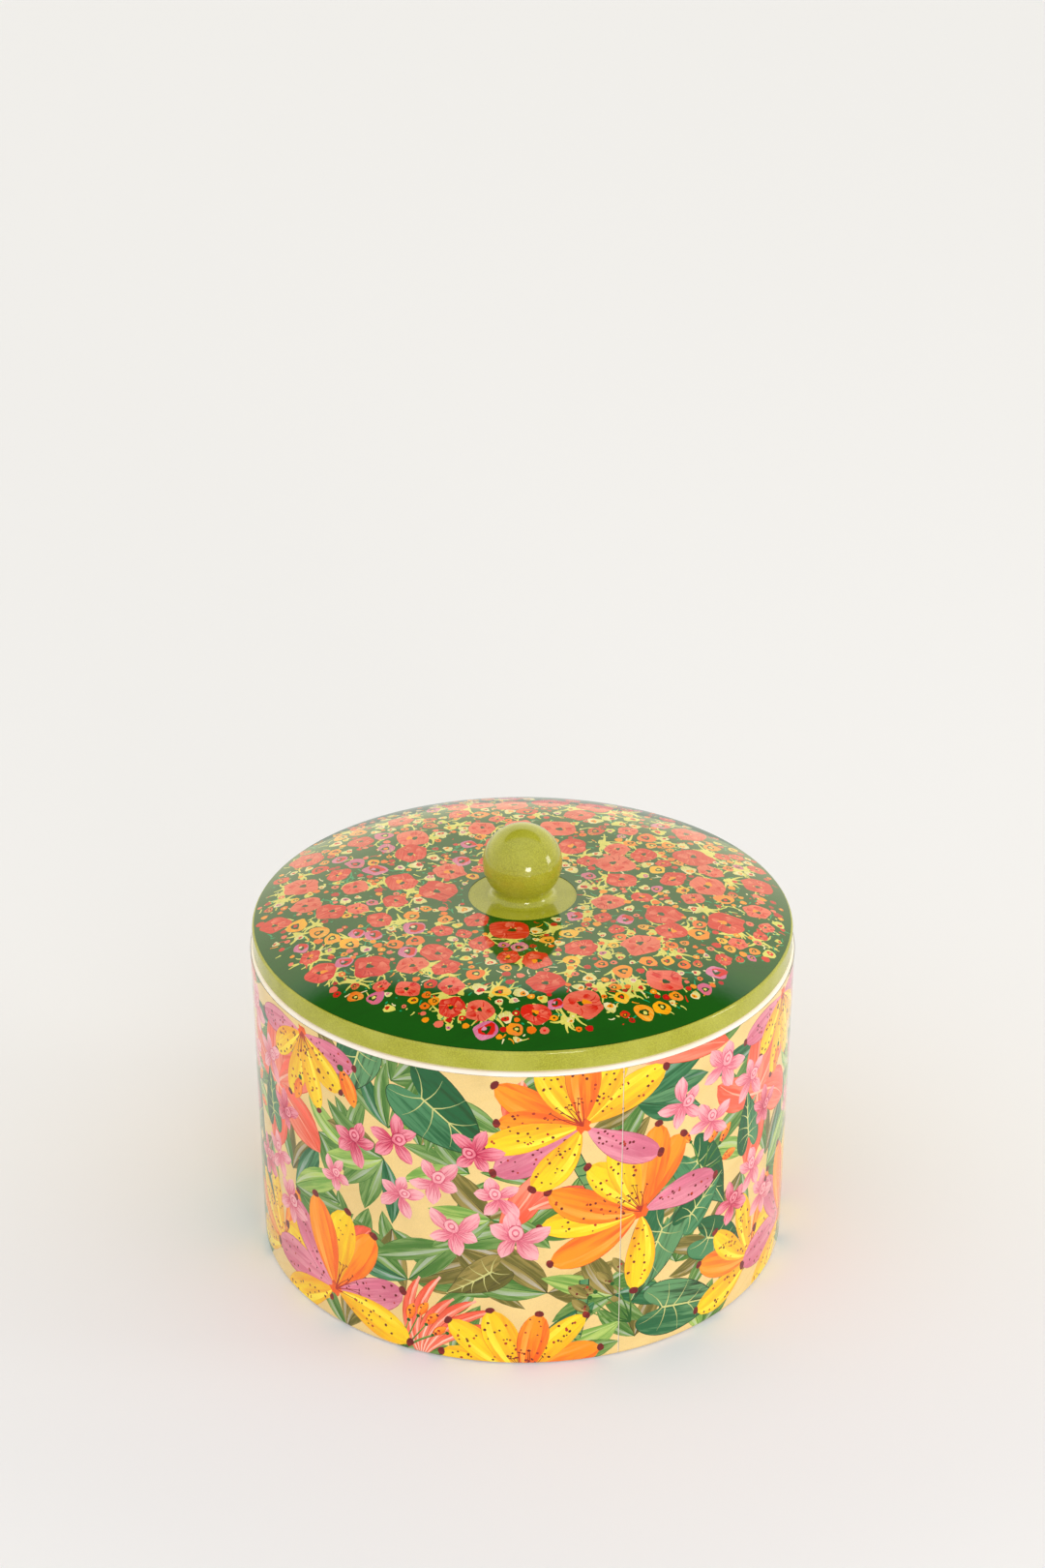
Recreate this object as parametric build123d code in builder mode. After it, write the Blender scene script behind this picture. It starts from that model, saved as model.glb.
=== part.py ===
from build123d import *

import os
from math import sqrt

# A glazed stoneware storage jar with a lift-off lid and a ball knob, both printed with fired-on
# transfers. Millimetres, +Z up. The origin is on the table, under the middle of the foot, and
# every piece is a half-outline, drawn as (radius, height), that is turned round the Z axis.

# Jar
jar_radius = 90.7  # outside, at the rim
jar_height = 110.2  # table to rim
jar_draft = 1.3  # how much slimmer the mould makes the jar at its foot
jar_wall = 5.0
jar_floor = 6.0
foot_recess = 1.8  # how far the underside is hollowed inside the foot ring
foot_ring_width = 6.0
foot_edge = 1.8  # rounding between the wall and the foot ring
floor_corner = 9.0  # rounding between the wall and the floor, inside
rim_edge = 1.2

# Lid
lid_inset = 0.7  # how far the lid stands back from the jar's rim
lid_band = 7.0  # rim to the corner of the shoulder
lid_crown = 50.0  # radius of the flat crown
lid_rise = 7.75  # corner to crown, of the shoulder
lid_thickness = 5.0
lid_edge = 1.0  # rounding at the corner
lid_seat_edge = 0.8
flange_depth = 9.0  # how far the locating flange reaches into the jar
flange_thickness = 4.0
flange_clearance = 1.2  # between the flange and the jar's wall
flange_root = 4.0  # rounding between the flange and the underside of the shoulder
flange_tip = 1.6

# Knob
knob_radius = 13.2
knob_sink = 0.8  # the ball would reach this far into the lid
knob_fillet = 2.4  # hollow curve between the ball and the lid
knob_lip = 0.15

# Printed transfers, each with the clear glaze over it
transfer_thickness = 0.15
jar_print_low = 0.6  # table to the lower edge of the print
jar_print_gap = 1.15  # print to rim
lid_print_inset = 0.7  # print to the lid's side
lid_collar = 6.9  # bare glaze round the knob's foot

# Worked out from the sizes above
jar_foot_radius = jar_radius - jar_draft
jar_inner_radius = jar_radius - jar_wall
foot_ring_inner = jar_foot_radius - foot_edge - foot_ring_width
floor_top = foot_recess + jar_floor
lid_radius = jar_radius - lid_inset
lid_corner_height = jar_height + lid_band
flange_outer = jar_inner_radius - flange_clearance
flange_inner = flange_outer - flange_thickness
crown_height = lid_corner_height + lid_rise
shoulder_run = lid_radius - lid_crown
shoulder_radius = (shoulder_run**2 + lid_rise**2) / (2 * lid_rise)

# The knob's hollow curve touches both the ball and the plane that the knob stands on.
ball_height = knob_radius - knob_sink
curve_reach = sqrt((knob_radius + knob_fillet) ** 2 - (ball_height - knob_fillet) ** 2)
knob_foot_radius = curve_reach - sqrt(knob_fillet**2 - (knob_fillet - knob_lip) ** 2)


def shoulder_height(radius, depth=0):
    """Height of the shoulder at a radius, or of the surface that lies depth below it."""
    past = radius - lid_crown
    return crown_height - shoulder_radius + sqrt((shoulder_radius - depth) ** 2 - past**2)


def between(low, high, share=0.5):
    """The value part of the way from low to high."""
    return low + (high - low) * share


def round_corner(half, radius, height, size):
    """Rounds the corner of a half-outline that is nearest to a point."""
    fillet(half.vertices().sort_by_distance((radius, height))[0], size)


def lid_line(inner, outer, depth=0):
    """Draws the crown and the shoulder between two radii, or the surface depth below them."""
    bends = (lid_crown, between(lid_crown, outer), outer)
    Line((inner, crown_height - depth), (lid_crown, crown_height - depth))
    ThreePointArc(*((radius, shoulder_height(radius, depth)) for radius in bends))


def save(piece, name):
    """Labels a finished piece and writes its file."""
    piece.part.label = name
    export_step(piece.part, f"parts/{name}.step")
    print(f"{name}: {piece.part.volume / 1000:.1f} cm3")


# Jar: a drafted wall, a rounded rim and a hollowed underside inside the foot ring
with BuildPart() as jar:
    with BuildSketch(Plane.XZ) as jar_half:
        with BuildLine():
            Polyline(
                (0, foot_recess),
                (foot_ring_inner - foot_recess, foot_recess),
                (foot_ring_inner, 0),
                (jar_foot_radius, 0),
                (jar_radius, jar_height),
                (jar_inner_radius, jar_height),
                (jar_foot_radius - jar_wall, floor_top),
                (0, floor_top),
                close=True,
            )
        make_face()
        round_corner(jar_half, jar_foot_radius, 0, foot_edge)
        round_corner(jar_half, jar_radius, jar_height, rim_edge)
        round_corner(jar_half, jar_inner_radius, jar_height, rim_edge)
        round_corner(jar_half, jar_foot_radius - jar_wall, floor_top, floor_corner)
    revolve(axis=Axis.Z)

# Lid: a flat crown that rolls down to an upright band, with a flange that finds the jar's mouth
with BuildPart() as lid:
    with BuildSketch(Plane.XZ) as lid_half:
        with BuildLine():
            lid_line(0, flange_inner, lid_thickness)
            Polyline(
                (flange_inner, shoulder_height(flange_inner, lid_thickness)),
                (flange_inner, jar_height - flange_depth),
                (flange_outer, jar_height - flange_depth),
                (flange_outer, jar_height),
                (lid_radius, jar_height),
                (lid_radius, lid_corner_height),
            )
            lid_line(0, lid_radius)
            Line((0, crown_height), (0, crown_height - lid_thickness))
        make_face()
        root_height = shoulder_height(flange_inner, lid_thickness)
        round_corner(lid_half, flange_inner, root_height, flange_root)
        round_corner(lid_half, flange_inner, jar_height - flange_depth, flange_tip)
        round_corner(lid_half, flange_outer, jar_height - flange_depth, flange_tip)
        round_corner(lid_half, lid_radius, jar_height, lid_seat_edge)
        round_corner(lid_half, lid_radius, lid_corner_height, lid_edge)
    revolve(axis=Axis.Z)

# Knob: a ball that runs into the lid through a hollow curve, made apart and luted on
with BuildPart() as knob:
    foot = crown_height
    touch = knob_radius / (knob_radius + knob_fillet)
    touch_radius = curve_reach * touch
    touch_height = between(ball_height, knob_fillet, touch)
    with BuildSketch(Plane.XZ):
        with BuildLine():
            Polyline(
                (0, foot + 2 * knob_radius - knob_sink),
                (0, foot),
                (knob_foot_radius, foot),
                (knob_foot_radius, foot + knob_lip),
            )
            ThreePointArc(
                (knob_foot_radius, foot + knob_lip),
                (curve_reach - knob_fillet, foot + knob_fillet),
                (touch_radius, foot + touch_height),
            )
            ThreePointArc(
                (touch_radius, foot + touch_height),
                (knob_radius, foot + ball_height),
                (0, foot + knob_radius + ball_height),
            )
        make_face()
    revolve(axis=Axis.Z)

# Jar's transfer: wraps the wall and the rounding of the foot
with BuildPart() as jar_transfer:
    print_top = jar_height - jar_print_gap
    with BuildSketch(Plane.XZ):
        add(jar_half.sketch_local)
        offset(amount=transfer_thickness)
        add(jar_half.sketch_local, mode=Mode.SUBTRACT)
        with Locations((jar_radius, between(jar_print_low, print_top))):
            Rectangle(jar_wall, print_top - jar_print_low, mode=Mode.INTERSECT)
    revolve(axis=Axis.Z)

# Lid's transfer: a ring on the crown and the shoulder
with BuildPart() as lid_transfer:
    ring_inner = knob_foot_radius + lid_collar
    ring_outer = lid_radius - lid_print_inset
    with BuildSketch(Plane.XZ):
        with BuildLine():
            lid_line(ring_inner, ring_outer)
            lid_line(ring_inner, ring_outer, -transfer_thickness)
            Line(
                (ring_outer, shoulder_height(ring_outer)),
                (ring_outer, shoulder_height(ring_outer, -transfer_thickness)),
            )
            Line(
                (ring_inner, crown_height),
                (ring_inner, crown_height + transfer_thickness),
            )
        make_face()
    revolve(axis=Axis.Z)

os.makedirs("parts", exist_ok=True)
save(jar, "jar")
save(jar_transfer, "jar_transfer")
save(lid, "lid")
save(lid_transfer, "lid_transfer")
save(knob, "knob")
print(f"print hole radius {ring_inner:.2f}, knob foot {knob_foot_radius:.2f}")
print(f"crown height {foot:.2f}, overall height {foot + knob_radius + ball_height:.2f}")
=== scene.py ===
# %% [markdown]
# A lidded storage jar of glazed stoneware. The shape is simple: a wall, a lid that rolls down at
# its edge and a ball knob, all turned round one axis. What makes the real jar is its surface: a
# clear gloss glaze, a mottled lime glaze, and two printed transfers that were fired on. Most of
# this lesson is about drawing those two prints as outlines, in millimetres, and laying them on
# the curved clay.
# %% Load the frame
import math
import random
from random import choice, uniform

import bpy
import numpy as np
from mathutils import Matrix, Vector
from mathutils.bvhtree import BVHTree
from mathutils.geometry import delaunay_2d_cdt


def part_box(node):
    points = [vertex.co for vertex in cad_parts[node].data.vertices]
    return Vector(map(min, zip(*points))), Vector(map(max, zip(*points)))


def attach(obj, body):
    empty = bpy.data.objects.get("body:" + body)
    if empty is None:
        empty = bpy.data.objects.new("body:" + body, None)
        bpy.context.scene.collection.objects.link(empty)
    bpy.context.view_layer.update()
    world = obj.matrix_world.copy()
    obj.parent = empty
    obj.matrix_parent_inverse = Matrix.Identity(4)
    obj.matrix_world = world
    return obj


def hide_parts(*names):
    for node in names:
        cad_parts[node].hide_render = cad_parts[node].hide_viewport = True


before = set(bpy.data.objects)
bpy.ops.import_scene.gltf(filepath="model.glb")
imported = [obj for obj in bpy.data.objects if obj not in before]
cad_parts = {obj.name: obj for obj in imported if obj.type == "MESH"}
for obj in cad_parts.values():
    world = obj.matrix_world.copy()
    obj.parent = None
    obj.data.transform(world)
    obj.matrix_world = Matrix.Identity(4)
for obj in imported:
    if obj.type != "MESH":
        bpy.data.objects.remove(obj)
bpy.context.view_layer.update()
print("nodes:", sorted(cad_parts))

# %% [markdown]
# The drawing unit below is the millimetre, because a print is easier to think of that way. MM
# turns it into Blender's metres. The main sizes are read from the frame's boxes, so that every
# piece made here lands where the engineering model has it.
# %% Sizes taken from the frame
MM = 0.001


def size_of(node):
    """A node's outer radius, lowest and highest point, in millimetres."""
    low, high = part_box(node)
    return high[0] / MM, low[2] / MM, high[2] / MM


jar_radius, _, rim_height = size_of("jar")
lid_radius, flange_bottom, crown_height = size_of("lid")
knob_radius, _, knob_top = size_of("knob")
print_top = size_of("jar_transfer")[2]
lid_print_radius = size_of("lid_transfer")[0]
print(f"jar {jar_radius:.1f} x {rim_height:.1f}, lid {lid_radius:.1f}, knob top {knob_top:.1f}")

# %% [markdown]
# Materials and the room's light are made of shader nodes. A few short helpers keep the node code
# readable: each adds one node, links or fills its inputs, and gives back its output.
# %% Shader helpers
def socket(group, name, kind, direction, value=None):
    """Adds a socket to a node group's outside."""
    made = group.interface.new_socket(name=name, in_out=direction, socket_type=kind)
    if value is not None:
        made.default_value = value


def fill(tree, slot, value):
    """Links a socket to an input, or sets the input's own number, vector or colour."""
    if isinstance(value, bpy.types.NodeSocket):
        tree.links.new(value, slot)
    else:
        slot.default_value = (*value, 1) if slot.type == "RGBA" else value


def add(tree, kind, inputs=None, **settings):
    """Adds a node, sets it up, and fills the inputs that are named or numbered."""
    node = tree.nodes.new(kind)
    for name, value in settings.items():
        setattr(node, name, value)
    for place, value in (inputs or {}).items():
        fill(tree, node.inputs[place], value)
    return node


def maths(tree, kind, first, second, clamp=False):
    """A math node on two sockets or numbers, and its result."""
    return add(tree, "ShaderNodeMath", {0: first, 1: second}, operation=kind, use_clamp=clamp).outputs[0]


def noise(tree, place, scale, detail=1.0, rough=0.5):
    """A noise texture at a place, and its value."""
    inputs = {"Vector": place, "Scale": scale, "Detail": detail, "Roughness": rough}
    return add(tree, "ShaderNodeTexNoise", inputs).outputs["Fac"]


def mapped(tree, value, low, high, to_low=0.0, to_high=1.0):
    """A smooth Map Range from low..high, and its result."""
    inputs = {"Value": value, "From Min": low, "From Max": high, "To Min": to_low, "To Max": to_high}
    return add(tree, "ShaderNodeMapRange", inputs, interpolation_type="SMOOTHSTEP").outputs[0]


def mixed(tree, mask, first, second):
    """Mixes two colours, each a socket or a tuple, by a mask."""
    return add(tree, "ShaderNodeMix", {0: mask, 6: first, 7: second}, data_type="RGBA").outputs[2]


def split(tree, vector):
    """The three parts of a vector, as sockets."""
    return add(tree, "ShaderNodeSeparateXYZ", {0: vector}).outputs


def new_shader(name, inputs):
    """A material with its node tree and its Principled shader, some of whose inputs are filled."""
    material = bpy.data.materials.new(name)
    material.use_nodes = True
    shader = material.node_tree.nodes["Principled BSDF"]
    for place, value in inputs.items():
        fill(material.node_tree, shader.inputs[place], value)
    return material, material.node_tree, shader


def place_object(name, data):
    """Puts a mesh, lamp or camera into the scene."""
    made = bpy.data.objects.new(name, data)
    bpy.context.collection.objects.link(made)
    return made


# %% [markdown]
# The camera stands well back and looks down by about 26 degrees, which shows both the lid and the
# wall. A long lens keeps the ellipses calm. Its place is given from the foot of the jar.
# %% Camera
CAMERA_BACK = 0.947
CAMERA_HEIGHT = 0.6233
CAMERA_TILT = 25.78
CAMERA_LENS = 73.88
CAMERA_SENSOR = 36


def make_camera():
    """Aims the scene's camera at the jar."""
    data = bpy.data.cameras.new("camera")
    data.lens = CAMERA_LENS
    data.sensor_width = CAMERA_SENSOR
    camera = place_object("camera", data)
    camera.location = (0, -CAMERA_BACK, CAMERA_HEIGHT)
    camera.rotation_euler = (math.radians(90 - CAMERA_TILT), 0, 0)
    bpy.context.scene.camera = camera


make_camera()

# %% [markdown]
# Glossy glaze shows its surroundings, so the surroundings are half of the finish. The jar stands
# on a wide pale floor in a bright even room, which leaves only a faint, soft shadow. Behind it is
# a brighter stretch, as of a lit paper backdrop, that ends about half-way up. The lid mirrors that
# stretch, so most of a real lid looks milky. Above it the room is dark, and that is what the
# lid's near edge mirrors: there, and in the knob's own mirror image, the print keeps its full
# colour. The world's direction vector says where each stretch is.
# %% Floor and room
FLOOR_COLOUR = (0.855, 0.853, 0.86)
FLOOR_RADIUS = 4.0
FLOOR_STEPS = 96
ROOM_COLOUR = (1.04, 1.035, 1.10)
BACKDROP_COLOUR = (1.62, 1.55, 1.16)
SHADE_COLOUR = (0.20, 0.19, 0.10)


def make_floor():
    """A round pale floor that runs out of the camera's view."""
    mesh = bpy.data.meshes.new("floor")
    angles = [math.tau * step / FLOOR_STEPS for step in range(FLOOR_STEPS)]
    rim = [(FLOOR_RADIUS * math.cos(a), FLOOR_RADIUS * math.sin(a), 0) for a in angles]
    mesh.from_pydata(rim, [], [list(range(FLOOR_STEPS))])
    paper = {"Base Color": FLOOR_COLOUR, "Roughness": 0.9, "Specular IOR Level": 0.2}
    mesh.materials.append(new_shader("paper_floor", paper)[0])
    place_object("floor", mesh)


def make_room():
    """Lights the scene from all round, with a brighter stretch behind the jar and shade above it."""
    world = bpy.data.worlds.new("room")
    world.use_nodes = True
    tree = world.node_tree
    _, back, height = split(tree, add(tree, "ShaderNodeTexCoord").outputs["Generated"])
    below_top = mapped(tree, height, 0.62, 0.72, 1.0, 0.0)
    stretch = maths(tree, "MULTIPLY", mapped(tree, back, 0.05, 0.45), below_top)
    above_top = mapped(tree, height, 0.66, 0.74)
    shade = maths(tree, "MULTIPLY", above_top, mapped(tree, back, 0.10, 0.30))
    colour = mixed(tree, shade, ROOM_COLOUR, SHADE_COLOUR)
    colour = mixed(tree, stretch, colour, BACKDROP_COLOUR)
    fill(tree, tree.nodes["Background"].inputs["Color"], colour)
    bpy.context.scene.world = world


make_floor()
make_room()
bpy.context.scene.view_settings.view_transform = "Standard"

# %% [markdown]
# Two lamps give the small bright marks that say gloss: a window in front and a little to the
# right, and a second window at the right-hand side. Each is placed by its compass angle from the
# front, its height angle, and the angles it fills across and up.
# %% Lamps
LAMP_COLOUR = (1.0, 0.97, 0.92)
LAMP_DISTANCE = 1.6


def window(name, around, height, wide, tall, power):
    """A rectangular lamp aimed at the knob. Angles are in degrees, seen from the knob."""
    data = bpy.data.lights.new(name, "AREA")
    data.shape = "RECTANGLE"
    data.size = 2 * LAMP_DISTANCE * math.tan(math.radians(wide / 2))
    data.size_y = 2 * LAMP_DISTANCE * math.tan(math.radians(tall / 2))
    data.energy = power
    data.color = LAMP_COLOUR
    lamp = place_object(name, data)
    a, h = math.radians(around), math.radians(height)
    back = Vector((math.sin(a) * math.cos(h), -math.cos(a) * math.cos(h), math.sin(h)))
    lamp.location = Vector((0, 0, knob_top * MM)) + back * LAMP_DISTANCE
    lamp.rotation_euler = back.to_track_quat("Z", "Y").to_euler()


window("front_window", 16.6, 3, 14, 11, 6)
window("side_window", 84, 8, 13, 17, 3.6)

# %% [markdown]
# Every glaze on the jar has the same two small faults that make it look fired and not painted:
# fine specks where the colour gathers, and a skin that isn't quite level, so reflections waver.
# Both are built once, as a node group. It gives masks for the colour and a height for the bump,
# and each glaze mixes them in with its own strength.
# %% Glaze flow, a node group
SWAY_SCALE = 38
PEEL_SCALE = 420
PEEL_SHARE = 0.10


def glaze_flow():
    """Builds the group. Scales are per metre, in the object's own place."""
    group = bpy.data.node_groups.new("glaze_flow", "ShaderNodeTree")
    socket(group, "Speck Scale", "NodeSocketFloat", "INPUT", 2600.0)
    socket(group, "Cloud Scale", "NodeSocketFloat", "INPUT", 70.0)
    for name in ("Specks", "Clouds", "Height"):
        socket(group, name, "NodeSocketFloat", "OUTPUT")
    scales = group.nodes.new("NodeGroupInput").outputs
    place = add(group, "ShaderNodeTexCoord").outputs["Object"]
    specks = noise(group, place, scales["Speck Scale"], 3.0, 0.65)
    clouds = noise(group, place, scales["Cloud Scale"], 2.0)
    peel = maths(group, "MULTIPLY", noise(group, place, PEEL_SCALE), PEEL_SHARE)
    height = maths(group, "ADD", noise(group, place, SWAY_SCALE), peel)
    add(group, "NodeGroupOutput", {"Specks": specks, "Clouds": clouds, "Height": height})
    return group


GLAZE_FLOW = glaze_flow()

# %% [markdown]
# A glaze material is a glossy Principled shader whose colour drifts between two neighbours. The
# specks and clouds pick between them through a Map Range, which sets how sharp the mottle is.
# %% Glaze materials
GLOSS = 0.07
GLAZE_IOR = 1.52
UNEVEN = 0.10
LIME = (0.42, 0.42, 0.022)
LIME_DEEP = (0.29, 0.285, 0.008)
LIME_PALE = (0.52, 0.51, 0.085)
WHITE_WARM = (0.88, 0.79, 0.64)
WHITE_BRIGHT = (0.93, 0.87, 0.76)
CLAY_CREAM = (0.84, 0.72, 0.42)
CLAY_BUFF = (0.55, 0.42, 0.28)


def new_material(name, roughness=GLOSS, uneven=UNEVEN):
    """A material with the glaze's uneven skin, in mm, and its tree, shader and flow group."""
    material, tree, shader = new_shader(name, {"Roughness": roughness, "IOR": GLAZE_IOR})
    flow = add(tree, "ShaderNodeGroup", node_tree=GLAZE_FLOW)
    bump = {"Strength": 1.0, "Distance": uneven * MM, "Height": flow.outputs["Height"]}
    fill(tree, shader.inputs["Normal"], add(tree, "ShaderNodeBump", bump).outputs["Normal"])
    return material, tree, shader, flow


def lime_glaze(thin_from, thin_to):
    """The mottled lime glaze. Between two heights it runs thin, and the pale clay shows."""
    material, tree, shader, flow = new_material("lime_glaze")
    specks = mapped(tree, flow.outputs["Specks"], 0.40, 0.62)
    clouds = mapped(tree, flow.outputs["Clouds"], 0.3, 0.7)
    colour = mixed(tree, specks, LIME_DEEP, LIME)
    colour = mixed(tree, maths(tree, "MULTIPLY", clouds, 0.35), colour, LIME_PALE)
    height = split(tree, add(tree, "ShaderNodeTexCoord").outputs["Object"])["Z"]
    waver = maths(tree, "MULTIPLY", maths(tree, "SUBTRACT", flow.outputs["Clouds"], 0.5), 0.5 * MM)
    thin = mapped(tree, maths(tree, "ADD", height, waver), thin_from * MM, thin_to * MM, 1.0, 0.0)
    fill(tree, shader.inputs["Base Color"], mixed(tree, thin, colour, CLAY_CREAM))
    return material


def white_glaze():
    """The warm white glaze of the rim and the inside."""
    material, tree, shader, flow = new_material("white_glaze", 0.08)
    clouds = mapped(tree, flow.outputs["Clouds"], 0.3, 0.75)
    colour = mixed(tree, clouds, WHITE_WARM, WHITE_BRIGHT)
    iron = maths(tree, "MULTIPLY", mapped(tree, flow.outputs["Specks"], 0.76, 0.84), 0.5)
    fill(tree, shader.inputs["Base Color"], mixed(tree, iron, colour, CLAY_BUFF))
    return material


def bare_clay():
    """The unglazed foot ring: dry, grainy and matt."""
    material, tree, shader, flow = new_material("bare_clay", 0.85, 0.25)
    flow.inputs["Speck Scale"].default_value = 1400
    grain = mapped(tree, flow.outputs["Specks"], 0.35, 0.7)
    fill(tree, shader.inputs["Base Color"], mixed(tree, grain, CLAY_BUFF, CLAY_CREAM))
    return material


# %% [markdown]
# The clay pieces are turned shapes, so each is drawn as half an outline and spun. The outline is a
# short list of corners, each with the size of its rounding, because that is how a mould is drawn.
# Rounding is worked out exactly and each point keeps its true normal, so that gloss runs cleanly
# from a long flat wall into a tight edge, which plain smooth shading can't do.
# %% Outlines with rounded corners
ARC_STEPS = 7


def turned(point, angle):
    """A point turned about the origin."""
    c, s = math.cos(angle), math.sin(angle)
    return Vector((point[0] * c - point[1] * s, point[0] * s + point[1] * c))


def rounded(corners):
    """Turns (radius, height, rounding) corners into (point, normal) pairs, outside on the right."""
    ends = [Vector(corner[:2]) for corner in corners]
    first = (ends[1] - ends[0]).normalized()
    pairs = [(ends[0], Vector((first.y, -first.x)))]
    for before, here, after, corner in zip(ends, ends[1:], ends[2:], corners[1:]):
        come, go = (here - before).normalized(), (after - here).normalized()
        turn = math.atan2(come.cross(go), come.dot(go))
        size = corner[2] if len(corner) > 2 else 0
        if not size:
            along = (come + go).normalized()
            pairs.append((here, Vector((along.y, -along.x))))
            continue
        side = math.copysign(1, turn)
        start = here - come * size * math.tan(abs(turn) / 2)
        out = Vector((come.y, -come.x))
        middle = start - out * size * side
        for step in range(ARC_STEPS + 1):
            normal = turned(out, turn * step / ARC_STEPS)
            pairs.append((middle + normal * size * side, normal))
    last = (ends[-1] - ends[-2]).normalized()
    return pairs + [(ends[-1], Vector((last.y, -last.x)))]


# %% [markdown]
# Spinning the outline gives rings of points. The first and last ring lie on the axis, so each is
# one shared point with a fan of triangles round it. The spin also writes the exact normals.
# %% Spin an outline
TURN_STEPS = 288


def mesh_object(name, verts, faces, normals, materials):
    """A smooth mesh object with its own normals, one for each vertex."""
    mesh = bpy.data.meshes.new(name)
    mesh.from_pydata(verts, [], faces)
    mesh.polygons.foreach_set("use_smooth", [True] * len(mesh.polygons))
    mesh.normals_split_custom_set_from_vertices(normals)
    for material in materials:
        mesh.materials.append(material)
    return place_object(name, mesh)


def spin(name, pairs, *materials):
    """Turns an outline of (point, normal) pairs round the axis."""
    verts, normals, faces = [], [], []
    for point, normal in pairs[1:-1]:
        for step in range(TURN_STEPS):
            c, s = math.cos(math.tau * step / TURN_STEPS), math.sin(math.tau * step / TURN_STEPS)
            verts.append((point.x * c * MM, point.x * s * MM, point.y * MM))
            normals.append((normal.x * c, normal.x * s, normal.y))
    for point, normal in (pairs[0], pairs[-1]):
        verts.append((0, 0, point.y * MM))
        normals.append((0, 0, math.copysign(1, normal.y)))
    rings = len(pairs) - 2
    for step in range(TURN_STEPS):
        after = (step + 1) % TURN_STEPS
        for ring in range(rings - 1):
            low, high = ring * TURN_STEPS, (ring + 1) * TURN_STEPS
            faces.append((low + step, low + after, high + after, high + step))
        top = (rings - 1) * TURN_STEPS
        faces.append((len(verts) - 2, after, step))
        faces.append((top + step, top + after, len(verts) - 1))
    made = mesh_object(name, verts, faces, normals, materials)
    print(f"{name}: {len(faces)} faces")
    return made


# %% [markdown]
# The jar is slip cast: a wall of even thickness that is a little slimmer at the foot, a foot ring
# that is wiped free of glaze so that it doesn't stick to the kiln shelf, and a rim that is rounded
# on both sides. The foot ring's flat face gets the bare clay.
# %% Jar
WALL = 5.0
DRAFT = 1.3
FLOOR = 6.0
FOOT_RECESS = 1.8
FOOT_EDGE = 1.8
FOOT_RING = 6.0
RIM_EDGE = 1.2
INNER_CORNER = 9.0
BARE_BELOW = 0.05
foot_radius = jar_radius - DRAFT


def make_jar():
    """The jar with its glazed wall and its bare foot ring."""
    ring_inner = foot_radius - FOOT_EDGE - FOOT_RING
    corners = [
        (0, FOOT_RECESS),
        (ring_inner - FOOT_RECESS, FOOT_RECESS, 1.2),
        (ring_inner, 0, 0.5),
        (foot_radius, 0, FOOT_EDGE),
        (jar_radius, rim_height, RIM_EDGE),
        (jar_radius - WALL, rim_height, RIM_EDGE),
        (foot_radius - WALL, FOOT_RECESS + FLOOR, INNER_CORNER),
        (0, FOOT_RECESS + FLOOR),
    ]
    made = spin("jar_body", rounded(corners), white_glaze(), bare_clay())
    bare = [face for face in made.data.polygons if face.center.z < BARE_BELOW * MM]
    for face in bare:
        face.material_index = 1
    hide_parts("jar")
    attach(made, "jar")
    print("bare faces on the foot ring:", len(bare))


make_jar()

# %% [markdown]
# The lid is flat in the middle and rolls down in a wide shoulder to an upright band. The shoulder
# is an arc that leaves the crown level, so nothing marks where it starts except the reflections.
# The flange below drops into the jar's mouth and keeps the lid from sliding off.
# %% Lid
LID_BAND = 7.0
LID_CROWN = 50.0
LID_THICKNESS = 5.0
LID_EDGE = 1.0
BAND_EDGE = 0.8
FLANGE_CLEARANCE = 1.2
FLANGE = 4.0
FLANGE_EDGE = 1.6
THIN_GLAZE = 0.95
WHITE_BELOW = 0.2
lid_corner = rim_height + LID_BAND
lid_rise = crown_height - lid_corner
shoulder_size = ((lid_radius - LID_CROWN) ** 2 + lid_rise**2) / (2 * lid_rise)
shoulder_centre = crown_height - shoulder_size


def lid_height(radius, depth=0.0):
    """Height of the lid's top at a radius, or of the surface that lies depth below it."""
    past = max(0.0, radius - LID_CROWN)
    return shoulder_centre + math.sqrt((shoulder_size - depth) ** 2 - past**2)


def shoulder_points(start, end, depth, steps):
    """Corners along the shoulder between two radii, without its ends."""
    radii = [start + (end - start) * step / steps for step in range(1, steps)]
    return [(radius, lid_height(radius, depth)) for radius in radii]


def make_lid():
    """The lid with its band, flange and thin-glazed lower edge."""
    outer = jar_radius - WALL - FLANGE_CLEARANCE
    inner = outer - FLANGE
    corners = [
        (0, lid_height(0, LID_THICKNESS)),
        (LID_CROWN, lid_height(0, LID_THICKNESS)),
        *shoulder_points(LID_CROWN, inner, LID_THICKNESS, 12)[:-2],
        (inner, lid_height(inner, LID_THICKNESS), 4.0),
        (inner, flange_bottom, FLANGE_EDGE),
        (outer, flange_bottom, FLANGE_EDGE),
        (outer, rim_height, 0.4),
        (lid_radius, rim_height, BAND_EDGE),
        (lid_radius, lid_corner, LID_EDGE),
        *shoulder_points(lid_radius, LID_CROWN, 0, 24)[2:],
        (LID_CROWN, crown_height),
        (0, crown_height),
    ]
    glaze = lime_glaze(rim_height - 0.1, rim_height + THIN_GLAZE)
    made = spin("lid_body", rounded(corners), glaze, bpy.data.materials["white_glaze"])
    for face in made.data.polygons:
        low = face.center.z < (rim_height + WHITE_BELOW) * MM
        under = face.normal.z < -0.2 and face.center.xy.length < outer * MM
        face.material_index = int(low or under)
    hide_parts("lid")
    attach(made, "lid")
    return glaze


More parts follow.
